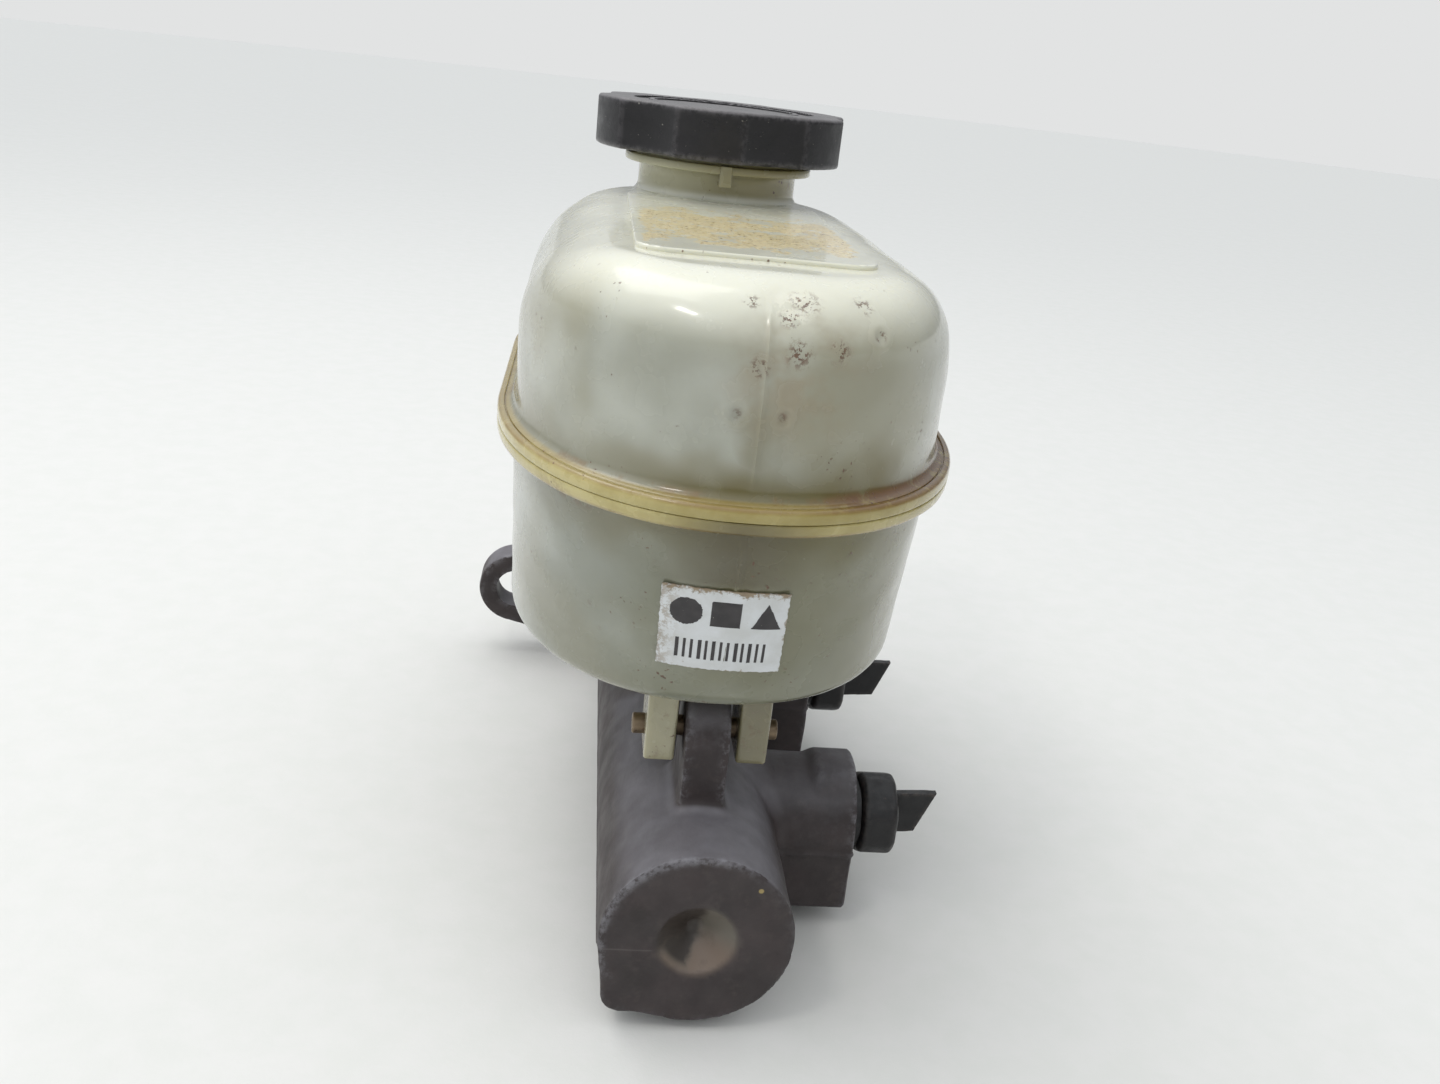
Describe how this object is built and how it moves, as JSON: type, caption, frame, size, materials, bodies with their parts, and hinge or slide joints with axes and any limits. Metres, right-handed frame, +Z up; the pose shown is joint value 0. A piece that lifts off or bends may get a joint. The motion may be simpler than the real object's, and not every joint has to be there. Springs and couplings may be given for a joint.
{
  "type": "brake master cylinder",
  "caption": "Tandem brake master cylinder: cast body with stud flange and side outlet ports, two sprung pistons, translucent plastic fluid reservoir and screw filler cap",
  "frame": {"origin": "centre of the mounting flange's rear face, on the bore axis", "axes": "+X towards the outlet ports, +Y rearwards into the brake booster along the bore, +Z up to the filler cap"},
  "size_m": [0.1118, 0.1961, 0.1618],
  "materials": {
    "cast_body": "as-cast, dark conversion coat, worn bright on machined edges",
    "piston_alloy": "fine turned, yellow anodised",
    "spring_steel": "drawn wire",
    "plated_steel": "zinc plated",
    "black_steel": "phosphated",
    "pin_steel": "oil-brown spring steel",
    "seat_brass": "turned",
    "seal_rubber": "moulded, smooth",
    "tank_upper": "translucent milky polypropylene, slightly stained",
    "tank_lower": "translucent milky polypropylene, yellowed at the weld",
    "cap_plastic": "satin moulded",
    "plug_plastic": "satin moulded",
    "label_paper": null
  },
  "bodies": {
    "cylinder": {"cylinder_body": "cast_body", "pilot_seal": "seal_rubber", "stop_washer": "plated_steel", "retaining_ring": "black_steel", "secondary_spring": "spring_steel", "front_inlet_grommet": "seal_rubber", "rear_inlet_grommet": "seal_rubber", "front_port_seat": "seat_brass", "rear_port_seat": "seat_brass", "reservoir_lower_shell": "tank_lower", "reservoir_upper_shell": "tank_upper", "reservoir_roll_pin": "pin_steel", "reservoir_label": "label_paper"},
    "first_piston": {"primary_piston": "piston_alloy", "primary_pressure_cup": "seal_rubber", "primary_rear_seal": "seal_rubber", "primary_spring_seat": "plated_steel"},
    "second_piston": {"secondary_piston": "piston_alloy", "secondary_pressure_cup": "seal_rubber", "secondary_rear_cup": "seal_rubber", "secondary_spring_seat": "plated_steel", "primary_spring": "spring_steel"},
    "diaphragm": {"cap_diaphragm": "seal_rubber"},
    "cap": {"filler_cap": "cap_plastic"},
    "front_plug": {"front_port_plug": "plug_plastic"},
    "rear_plug": {"rear_port_plug": "plug_plastic"}
  },
  "joints": [
    {"name": "primary_stroke", "type": "slide", "parent": "cylinder", "child": "first_piston", "axis": [0, -1, 0], "range_m": [0, 0.026], "stiffness_N_per_m": 1500, "springref_m": -0.02, "deforming": ["primary_spring"]},
    {"name": "secondary_stroke", "type": "slide", "parent": "cylinder", "child": "second_piston", "axis": [0, -1, 0], "range_m": [0, 0.013], "deforming": ["secondary_spring"]},
    {"name": "cap_lift", "type": "slide", "parent": "cylinder", "child": "diaphragm", "axis": [0, 0, 1], "range_m": [0, 0.0126]},
    {"name": "cap_turn", "type": "hinge", "parent": "diaphragm", "child": "cap", "pos_m": [0, -0.0515, 0.1307], "axis": [0, 0, 1], "range_deg": [0, 900]},
    {"name": "front_plug_pull", "type": "slide", "parent": "cylinder", "child": "front_plug", "axis": [1, 0, 0], "range_m": [0, 0.016]},
    {"name": "rear_plug_pull", "type": "slide", "parent": "cylinder", "child": "rear_plug", "axis": [1, 0, 0], "range_m": [0, 0.016]}
  ],
  "couplings": [
    {"joint": "secondary_stroke", "follows": "primary_stroke", "ratio": 0.5},
    {"joint": "cap_lift", "follows": "cap_turn", "m_per_rad": 0.00079577}
  ]
}
